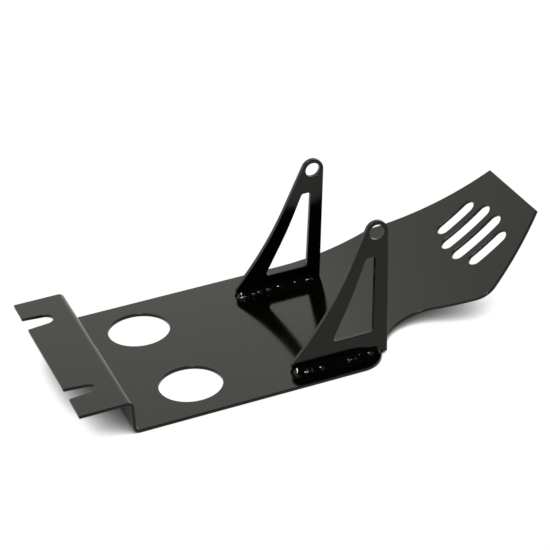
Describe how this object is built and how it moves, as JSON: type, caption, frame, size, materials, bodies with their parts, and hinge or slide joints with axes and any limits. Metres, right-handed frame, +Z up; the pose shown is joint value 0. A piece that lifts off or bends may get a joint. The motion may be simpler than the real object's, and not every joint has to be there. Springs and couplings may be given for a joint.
{
  "type": "motorcycle skid plate",
  "caption": "Folded and rolled black steel skid plate that guards the underside of a small motorcycle's engine, with slotted nose, bolt flange and welded bracket ears.",
  "frame": {"origin": "bottom centre of the bounding box: on the plane of the plate's ground side, halfway between the flange's rear edge and the nose's tip, at mid width", "axes": "+X forward to the nose, +Y to the left side, +Z up toward the engine"},
  "size_m": [0.3154, 0.14, 0.0893],
  "materials": {
    "powder_coat": "gloss black powder coat on steel sheet",
    "coated_weld": "gloss black powder coat over lumpy weld beads"
  },
  "bodies": {
    "root": {"skid_plate": "powder_coat", "left_bracket": "powder_coat", "right_bracket": "powder_coat", "left_outer_weld": "coated_weld", "left_inner_weld": "coated_weld", "right_outer_weld": "coated_weld", "right_inner_weld": "coated_weld"}
  },
  "joints": []
}
